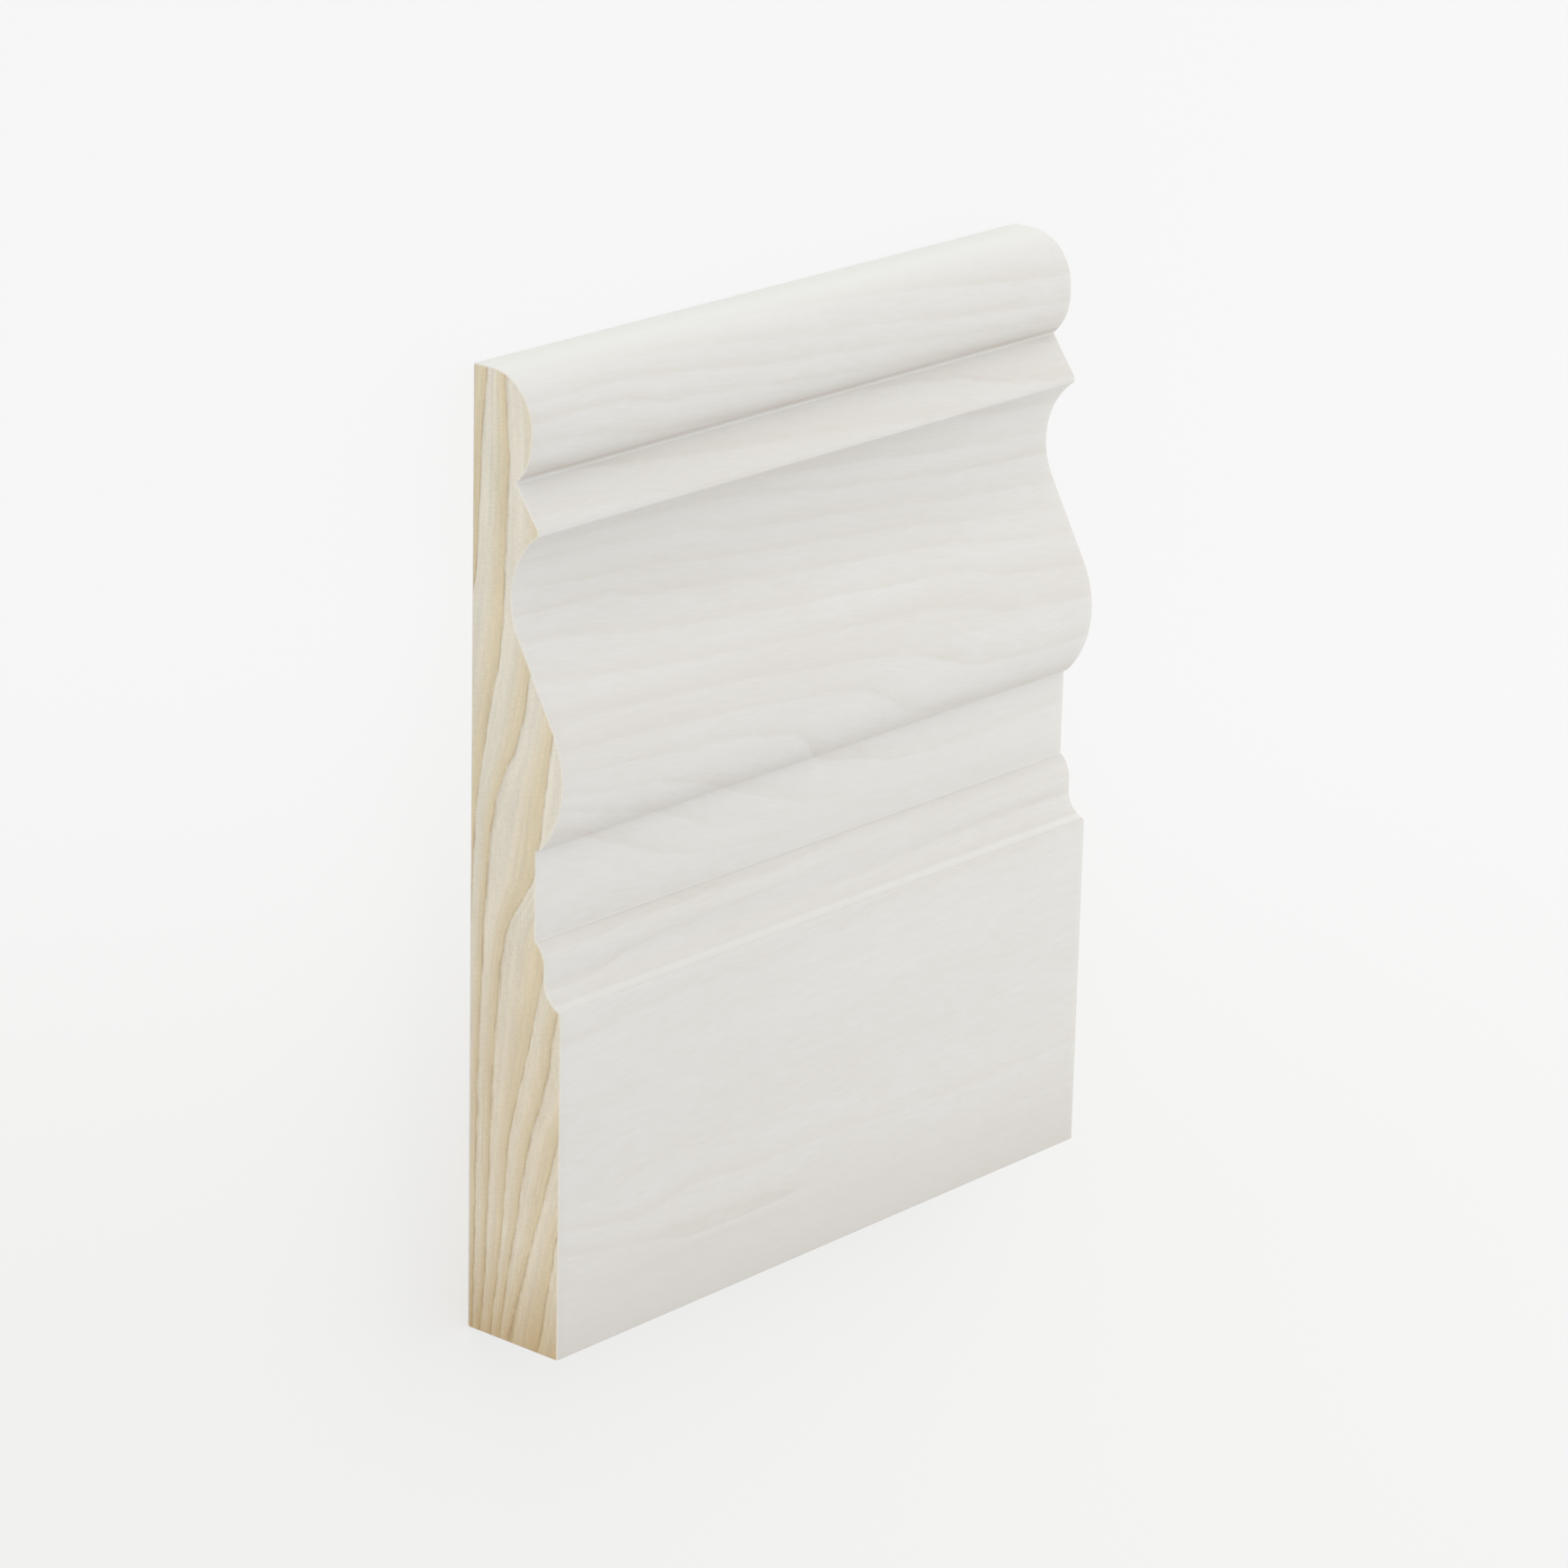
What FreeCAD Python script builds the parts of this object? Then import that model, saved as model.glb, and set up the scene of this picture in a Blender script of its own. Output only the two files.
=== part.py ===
import FreeCAD
import Part
import math
import os

# Short length of deep moulded skirting, lying on its back with the moulded face up.
# +X runs along the length, +Y towards the top edge, +Z out of the face.
# The origin is the middle of the back face. All sizes are in millimetres.

# Board
length = 180.0
height = 220.0
thickness = 27.0

# Depths of the moulding, measured back from the face of the plinth
nose_setback = 10.0
quirk_setback = 14.6
arris_setback = 7.9
hollow_setback = 15.6
round_setback = 0.2
band_setback = 7.8
ledge_setback = 4.9

# Nose along the top edge: an upper curve, a short flat, and a lower curve into the quirk
nose_upper_radius = 11.8
nose_flat = 2.0
nose_lower_radius = 12.8

# Sloping fillet from the quirk down to the narrow upright edge of its arris
fillet_drop = 9.3
arris_width = 1.2

# Ogee: a hollow, a straight run leaning back in degrees from upright, and a round
hollow_radius = 18.2
round_radius = 23.0
run_lean = 29.0

# Undercut of the round, from its middle down to the flat soffit
soffit_drop = 16.3

# Flat band between the soffit and the step that the ovolo stands out by
band_width = 20.7
ovolo_step = 0.4

# Ovolo, short upright ledge and small cove above the plinth
ovolo_radius = 7.5
ledge_width = 2.6
cove_radius = 6.5


def rise_of_arc(radius, sideways):
    """Height on a circle, from its middle, at a distance to one side of its middle."""
    return math.sqrt(radius ** 2 - sideways ** 2)


def arc_point(centre, radius, angle):
    """Point on a circle; the angle is in radians from straight out of the face."""
    return (centre[0] + radius * math.cos(angle), centre[1] + radius * math.sin(angle))


def angle_to(centre, point):
    return math.atan2(point[1] - centre[1], point[0] - centre[0])


def vector(point):
    """Section point (depth from the back, height from the bottom edge) at the near end."""
    return FreeCAD.Vector(-length / 2, point[1] - height / 2, point[0])


def straight(start, end):
    return Part.LineSegment(vector(start), vector(end)).toShape()


def arc(centre, radius, start, end):
    """Arc of a circle between two of its points, the short way round."""
    first = angle_to(centre, start)
    last = angle_to(centre, end)
    turn = (last - first + math.pi) % (2 * math.pi) - math.pi
    middle = arc_point(centre, radius, first + turn / 2)
    return Part.Arc(vector(start), vector(middle), vector(end)).toShape()


def quirk_below(nose_centre):
    """Where the nose's lower curve ends, at the depth of the quirk."""
    depth = thickness - quirk_setback
    return (depth, nose_centre[1] - rise_of_arc(nose_lower_radius, depth - nose_centre[0]))


def hollow_below(arris_foot):
    """Centre of the hollow, whose curve leaves the foot of the arris."""
    sideways = hollow_radius - hollow_setback + arris_setback
    return (
        thickness - hollow_setback + hollow_radius,
        arris_foot[1] - rise_of_arc(hollow_radius, sideways),
    )


def ogee_run(hollow_centre):
    """Both ends of the straight run, tangent to each curve, and the centre of the round."""
    lean = math.radians(run_lean)
    # The negative radius gives the side of the hollow's circle that lies on the wood
    hollow_end = arc_point(hollow_centre, -hollow_radius, lean)
    round_centre_depth = thickness - round_setback - round_radius
    round_start_depth = round_centre_depth + round_radius * math.cos(lean)
    run_height = (round_start_depth - hollow_end[0]) / math.tan(lean)
    round_start = (round_start_depth, hollow_end[1] - run_height)
    round_centre = (round_centre_depth, round_start[1] - round_radius * math.sin(lean))
    return hollow_end, round_start, round_centre


def section():
    """Closed outline of the moulding, from the back of the top edge round to the back."""
    nose_depth = thickness - nose_setback
    upper_centre = (nose_depth - nose_upper_radius, height - nose_upper_radius)
    nose_start = (upper_centre[0], height)
    flat_top = (nose_depth, upper_centre[1])
    flat_foot = (nose_depth, flat_top[1] - nose_flat)
    lower_centre = (nose_depth - nose_lower_radius, flat_foot[1])
    quirk = quirk_below(lower_centre)

    arris_top = (thickness - arris_setback, quirk[1] - fillet_drop)
    arris_foot = (arris_top[0], arris_top[1] - arris_width)
    hollow_centre = hollow_below(arris_foot)
    hollow_end, round_start, round_centre = ogee_run(hollow_centre)

    soffit_height = round_centre[1] - soffit_drop
    round_end = (round_centre[0] + rise_of_arc(round_radius, soffit_drop), soffit_height)
    band_top = (thickness - band_setback, soffit_height)
    band_foot = (band_top[0], soffit_height - band_width)
    step_edge = (band_foot[0] + ovolo_step, band_foot[1])

    ledge_depth = thickness - ledge_setback
    ovolo_depth = ledge_depth - ovolo_radius
    ovolo_rise = rise_of_arc(ovolo_radius, step_edge[0] - ovolo_depth)
    ovolo_centre = (ovolo_depth, step_edge[1] - ovolo_rise)
    ledge_top = (ledge_depth, ovolo_centre[1])
    ledge_foot = (ledge_depth, ledge_top[1] - ledge_width)
    cove_centre = (ledge_depth + cove_radius, ledge_foot[1])
    plinth_rise = rise_of_arc(cove_radius, cove_radius - ledge_setback)
    plinth_top = (thickness, cove_centre[1] - plinth_rise)

    return Part.Wire([
        straight((0, height), nose_start),
        arc(upper_centre, nose_upper_radius, nose_start, flat_top),
        straight(flat_top, flat_foot),
        arc(lower_centre, nose_lower_radius, flat_foot, quirk),
        straight(quirk, arris_top),
        straight(arris_top, arris_foot),
        arc(hollow_centre, hollow_radius, arris_foot, hollow_end),
        straight(hollow_end, round_start),
        arc(round_centre, round_radius, round_start, round_end),
        straight(round_end, band_top),
        straight(band_top, band_foot),
        straight(band_foot, step_edge),
        arc(ovolo_centre, ovolo_radius, step_edge, ledge_top),
        straight(ledge_top, ledge_foot),
        arc(cove_centre, cove_radius, ledge_foot, plinth_top),
        straight(plinth_top, (thickness, 0)),
        straight((thickness, 0), (0, 0)),
        straight((0, 0), (0, height)),
    ])


def skirting_board():
    """The section carried along the length, with both ends cut square."""
    return Part.Face(section()).extrude(FreeCAD.Vector(length, 0, 0))


os.makedirs("parts", exist_ok=True)
board = skirting_board()
board.exportStep("parts/skirting_board.step")
print("skirting_board", board.isValid(), round(board.Volume), board.BoundBox)
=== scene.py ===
import math

import bpy
import numpy as np
from mathutils import Matrix, Vector


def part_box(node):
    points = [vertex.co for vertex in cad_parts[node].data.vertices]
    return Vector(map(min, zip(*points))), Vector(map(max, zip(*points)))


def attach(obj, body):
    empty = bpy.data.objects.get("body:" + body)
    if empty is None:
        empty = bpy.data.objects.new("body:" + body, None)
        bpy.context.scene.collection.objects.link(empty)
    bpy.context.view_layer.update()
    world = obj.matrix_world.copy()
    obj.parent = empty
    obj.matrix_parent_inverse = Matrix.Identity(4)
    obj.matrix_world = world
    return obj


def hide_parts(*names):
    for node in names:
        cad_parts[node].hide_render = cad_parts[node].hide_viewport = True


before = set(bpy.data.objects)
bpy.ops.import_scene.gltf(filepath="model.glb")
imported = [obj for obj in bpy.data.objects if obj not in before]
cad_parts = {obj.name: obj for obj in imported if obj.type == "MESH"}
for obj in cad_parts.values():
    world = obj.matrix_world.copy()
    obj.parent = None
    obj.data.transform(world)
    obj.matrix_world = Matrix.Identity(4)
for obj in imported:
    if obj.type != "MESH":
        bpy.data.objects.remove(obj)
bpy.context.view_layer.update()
low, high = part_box("skirting_board")

mm = 0.001
boardLength = (high.x - low.x) / mm
boardHeight = (high.y - low.y) / mm
boardThickness = (high.z - low.z) / mm
halfLength, halfHeight = boardLength / 2, boardHeight / 2
print("frame loaded:", round(boardLength), "x", round(boardHeight), "x", round(boardThickness), "mm")


# Camera: the photograph's view of the face, from above because the board lies on its back
camera = {
    "lens": 139.85,  # mm
    "sensor": 36.0,  # mm wide
    "reach": (0.05, 50.0),  # m, the nearest and farthest that it sees
    "place": (-0.9827, 0.4391, 0.8580),  # m
    "aim": (-0.00166, -0.00159, 0.01243),  # m
    "roll": 1.343,  # degrees, right side of the picture lifted
}


def placeCamera():
    # The view axis runs from place to aim, the board's height stands upright, then the roll is added
    place = Vector(camera["place"])
    ahead = (Vector(camera["aim"]) - place).normalized()
    right = ahead.cross(Vector((0, 1, 0))).normalized()
    up = right.cross(ahead)
    roll = math.radians(camera["roll"])
    rolledRight = right * math.cos(roll) + up * math.sin(roll)
    rolledUp = up * math.cos(roll) - right * math.sin(roll)
    data = bpy.data.cameras.new("camera")
    data.lens = camera["lens"]
    data.sensor_width = camera["sensor"]
    data.clip_start, data.clip_end = camera["reach"]
    viewer = bpy.data.objects.new("camera", data)
    bpy.context.scene.collection.objects.link(viewer)
    turned = Matrix((rolledRight, rolledUp, -ahead)).transposed()
    viewer.matrix_world = Matrix.Translation(place) @ turned.to_4x4()
    bpy.context.scene.camera = viewer


placeCamera()
print("camera placed")


# Section of the moulding in millimetres, depths measured back from the face of the plinth
moulding = {
    "noseSetback": 10.0,
    "quirkSetback": 14.6,
    "arrisSetback": 7.9,
    "hollowSetback": 15.6,
    "roundSetback": 0.2,
    "bandSetback": 7.8,
    "ledgeSetback": 4.9,
    "noseUpperRadius": 11.8,
    "noseFlat": 2.0,
    "noseLowerRadius": 12.8,
    "filletDrop": 9.3,
    "arrisWidth": 1.2,
    "hollowRadius": 18.2,
    "roundRadius": 23.0,
    "runLean": 29.0,  # degrees, leaning back from upright
    "soffitDrop": 16.3,
    "bandWidth": 20.7,
    "ovoloStep": 0.4,
    "ovoloRadius": 7.5,
    "ledgeWidth": 2.6,
    "coveRadius": 6.5,
}


# An outline point is (depth from the back, height from the bottom edge)
def straight(start, end):
    # Points evenly spaced from start to end
    share = np.linspace(0, 1, 200)[:, None]
    return np.array(start) * (1 - share) + np.array(end) * share


def arc(centre, radius, start, end):
    # Points on a circle at evenly spaced angles, the short way from start to end
    first = math.atan2(start[1] - centre[1], start[0] - centre[0])
    last = math.atan2(end[1] - centre[1], end[0] - centre[0])
    turn = (last - first + math.pi) % (2 * math.pi) - math.pi
    angle = first + turn * np.linspace(0, 1, 400)
    return np.stack([centre[0] + radius * np.cos(angle), centre[1] + radius * np.sin(angle)], 1)


def mouldedFace():
    # The face from the start of the nose on the top edge down to the front of the bottom edge
    m = moulding
    noseDepth = boardThickness - m["noseSetback"]
    upperCentre = (noseDepth - m["noseUpperRadius"], boardHeight - m["noseUpperRadius"])
    noseStart = (upperCentre[0], boardHeight)
    flatTop = (noseDepth, upperCentre[1])
    flatFoot = (noseDepth, flatTop[1] - m["noseFlat"])
    lowerCentre = (noseDepth - m["noseLowerRadius"], flatFoot[1])
    quirkDepth = boardThickness - m["quirkSetback"]
    quirkFall = math.sqrt(m["noseLowerRadius"] ** 2 - (quirkDepth - lowerCentre[0]) ** 2)
    quirk = (quirkDepth, lowerCentre[1] - quirkFall)

    arrisTop = (boardThickness - m["arrisSetback"], quirk[1] - m["filletDrop"])
    arrisFoot = (arrisTop[0], arrisTop[1] - m["arrisWidth"])
    hollowDepth = boardThickness - m["hollowSetback"] + m["hollowRadius"]
    hollowFall = math.sqrt(m["hollowRadius"] ** 2 - (hollowDepth - arrisFoot[0]) ** 2)
    hollowCentre = (hollowDepth, arrisFoot[1] - hollowFall)
    lean = math.radians(m["runLean"])
    hollowEnd = (
        hollowCentre[0] - m["hollowRadius"] * math.cos(lean),
        hollowCentre[1] - m["hollowRadius"] * math.sin(lean),
    )
    roundDepth = boardThickness - m["roundSetback"] - m["roundRadius"]
    runEndDepth = roundDepth + m["roundRadius"] * math.cos(lean)
    runEnd = (runEndDepth, hollowEnd[1] - (runEndDepth - hollowEnd[0]) / math.tan(lean))
    roundCentre = (roundDepth, runEnd[1] - m["roundRadius"] * math.sin(lean))

    soffit = roundCentre[1] - m["soffitDrop"]
    roundEnd = (roundDepth + math.sqrt(m["roundRadius"] ** 2 - m["soffitDrop"] ** 2), soffit)
    bandTop = (boardThickness - m["bandSetback"], soffit)
    bandFoot = (bandTop[0], soffit - m["bandWidth"])
    stepEdge = (bandFoot[0] + m["ovoloStep"], bandFoot[1])
    ledgeDepth = boardThickness - m["ledgeSetback"]
    ovoloDepth = ledgeDepth - m["ovoloRadius"]
    ovoloFall = math.sqrt(m["ovoloRadius"] ** 2 - (stepEdge[0] - ovoloDepth) ** 2)
    ovoloCentre = (ovoloDepth, stepEdge[1] - ovoloFall)
    ledgeTop = (ledgeDepth, ovoloCentre[1])
    ledgeFoot = (ledgeDepth, ledgeTop[1] - m["ledgeWidth"])
    coveCentre = (ledgeDepth + m["coveRadius"], ledgeFoot[1])
    coveFall = math.sqrt(m["coveRadius"] ** 2 - (m["coveRadius"] - m["ledgeSetback"]) ** 2)
    plinthTop = (boardThickness, coveCentre[1] - coveFall)
    return [
        arc(upperCentre, m["noseUpperRadius"], noseStart, flatTop),
        straight(flatTop, flatFoot),
        arc(lowerCentre, m["noseLowerRadius"], flatFoot, quirk),
        straight(quirk, arrisTop),
        straight(arrisTop, arrisFoot),
        arc(hollowCentre, m["hollowRadius"], arrisFoot, hollowEnd),
        straight(hollowEnd, runEnd),
        arc(roundCentre, m["roundRadius"], runEnd, roundEnd),
        straight(roundEnd, bandTop),
        straight(bandTop, bandFoot),
        straight(bandFoot, stepEdge),
        arc(ovoloCentre, m["ovoloRadius"], stepEdge, ledgeTop),
        straight(ledgeTop, ledgeFoot),
        arc(coveCentre, m["coveRadius"], ledgeFoot, plinthTop),
        straight(plinthTop, (boardThickness, 0)),
    ]


board = {
    "arrisEase": 0.22,  # mm, how far planing and sanding average the section's corners
    "outlineStep": 0.04,  # mm between the points of the outline that is averaged
    "endEase": 0.24,  # mm, radius rubbed on to the arris of each sawn end
    "endSteps": 4,  # facets round that radius
    "faceSpacing": 1.1,  # mm between points round the moulded face
    "turnStep": 9.0,  # degrees that the face may turn between two points
    "lengthSpacing": 2.6,  # mm between stations along the board
    "acrossCount": 36,  # cells through the thickness on each end
    "rowFollow": 0.85,  # how closely a row on the end stays level, from 0 to 1
    "relief": 0.035,  # mm that the soft earlywood lies below the hard latewood after planing
    "reliefStart": 1.0,  # mm from each sawn end
    "reliefFade": 3.0,  # mm over which it reaches its depth
    "arrisReach": 2.0,  # mm from each sawn end where the rubbed arris counts in full
    "arrisRim": 0.25,  # how much it counts at the rim of the end itself
    "cornerReach": 60,  # mm within which the distance from a corner of the face is kept
}

# Corners of the face along which painted shade and light are laid, by the number of the piece of the face
# that ends there
faceCorners = {"pastQuirk": 2, "pastCorner": 8, "pastStep": 9, "pastPlinth": 13}


def closedOutline():
    # The whole section clockwise from the back of the top edge, evenly resampled, with its corners
    # eased by a Gaussian average along the loop; also the loop positions of its four sides
    face = mouldedFace()
    top = straight((0, boardHeight), face[0][0])
    bottom = straight((boardThickness, 0), (0, 0))
    back = straight((0, 0), (0, boardHeight))
    sides = [top, np.concatenate(face), bottom, back]
    points = np.concatenate(sides)
    stride = np.hypot(*np.diff(points, axis=0).T)
    travelled = np.concatenate([[0], np.cumsum(stride)])
    ends = np.cumsum([len(side) for side in sides]) - 1
    sideAt = np.concatenate([[0], travelled[ends]])
    girth = travelled[-1]
    count = int(girth / board["outlineStep"])
    even = np.arange(count) * girth / count
    loop = np.interp(even, travelled, points[:, 0]) + 1j * np.interp(even, travelled, points[:, 1])
    pitch = np.fft.fftfreq(count, girth / count) * 2 * math.pi
    eased = np.fft.ifft(np.fft.fft(loop) * np.exp(-0.5 * (board["arrisEase"] * pitch) ** 2))
    return even, eased, sideAt, girth


def loopPoint(even, eased, girth, at):
    # Depth, height and outward direction of the eased loop at positions along it
    tangent = np.roll(eased, -1) - np.roll(eased, 1)
    outward = 1j * tangent / np.abs(tangent)
    parts = (eased.real, eased.imag, outward.real, outward.imag)
    around = np.stack([np.interp(at, even, part, period=girth) for part in parts], -1)
    place, normal = around[..., :2], around[..., 2:]
    return place, normal / np.linalg.norm(normal, axis=-1, keepdims=True)


def facePositions(even, eased, start, end):
    # Loop positions down the face, closer together where the outline turns
    inside = (even >= start) & (even <= end)
    heading = np.unwrap(np.angle(np.roll(eased, -1) - eased))
    turned = np.abs(np.gradient(heading))[inside]
    weight = (even[1] - even[0]) / board["faceSpacing"] + np.degrees(turned) / board["turnStep"]
    grown = np.concatenate([[0], np.cumsum(weight)])
    travelled = np.linspace(start, end, len(grown))
    rows = int(grown[-1])
    return np.interp(np.linspace(0, grown[-1], rows + 1), grown, travelled)


def sectionLoop():
    # Loop positions of the mesh: top, face, bottom and back. The back has as many rows as the face,
    # at heights between level with the face's and evenly spaced
    even, eased, sideAt, girth = closedOutline()
    faceAt = facePositions(even, eased, sideAt[1], sideAt[2])
    rows = len(faceAt) - 1
    level = loopPoint(even, eased, girth, faceAt)[0][:, 1]
    fall = board["rowFollow"] * (level[0] - level) / (level[0] - level[-1])
    fall += (1 - board["rowFollow"]) * np.linspace(0, 1, rows + 1)
    backAt = sideAt[4] + (sideAt[3] - sideAt[4]) * fall
    cells = board["acrossCount"]
    topAt = np.linspace(sideAt[0], sideAt[1], cells + 1)
    bottomAt = np.linspace(sideAt[2], sideAt[3], cells + 1)
    at = np.concatenate([topAt, faceAt[1:], bottomAt[1:], backAt[-2:0:-1]])
    place, normal = loopPoint(even, eased, girth, at)
    return at, place, normal, rows, cells


def lengthStations():
    # Places along the board and how far the section is drawn in there: a quarter circle at each end
    ease = board["endEase"]
    angle = np.linspace(0, math.pi / 2, board["endSteps"] + 1)
    run = ease * (1 - np.cos(angle))
    drawnIn = ease * (1 - np.sin(angle))
    count = int((boardLength - 2 * ease) / board["lengthSpacing"])
    middle = np.linspace(ease, boardLength - ease, count + 1)[1:-1]
    along = np.concatenate([run, middle, boardLength - run[::-1]])
    inset = np.concatenate([drawnIn, middle * 0, drawnIn[::-1]])
    return along, inset


def endPatch(edge, rows, cells):
    # Points inside one end: each row runs straight from back to face, corrected so that the first
    # and last rows follow the top and bottom edges (a Coons patch)
    top = edge[: cells + 1]
    face = edge[cells : cells + rows + 1]
    bottom = edge[cells + rows : 2 * cells + rows + 1][::-1]
    back = np.concatenate([edge[:1], edge[2 * cells + rows :][::-1]])
    u = np.linspace(0, 1, cells + 1)[None, :, None]
    v = np.linspace(0, 1, rows + 1)[:, None, None]
    ruled = back[:, None] * (1 - u) + face[:, None] * u
    lofted = top[None] * (1 - v) + bottom[None] * v
    corners = (top[0] * (1 - u) + top[-1] * u) * (1 - v) + (bottom[0] * (1 - u) + bottom[-1] * u) * v
    return (ruled + lofted - corners)[1:-1, 1:-1].reshape(-1, 2)


def endNumbers(first, inner, rows, cells):
    # Vertex numbers of one end as a grid of rows by cells, sharing the loop's vertices at its rim
    grid = np.zeros((rows + 1, cells + 1), int)
    grid[0] = first + np.arange(cells + 1)
    grid[:, -1] = first + cells + np.arange(rows + 1)
    grid[-1] = first + cells + rows + np.arange(cells, -1, -1)
    grid[1:-1, 0] = first + 2 * cells + rows + np.arange(rows - 1, 0, -1)
    grid[1:-1, 1:-1] = inner + np.arange((rows - 1) * (cells - 1)).reshape(rows - 1, cells - 1)
    return grid


def quads(grid):
    # The four corners of each cell of a grid of vertex numbers
    return np.stack([grid[:-1, :-1], grid[1:, :-1], grid[1:, 1:], grid[:-1, 1:]], -1).reshape(-1, 4)
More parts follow.
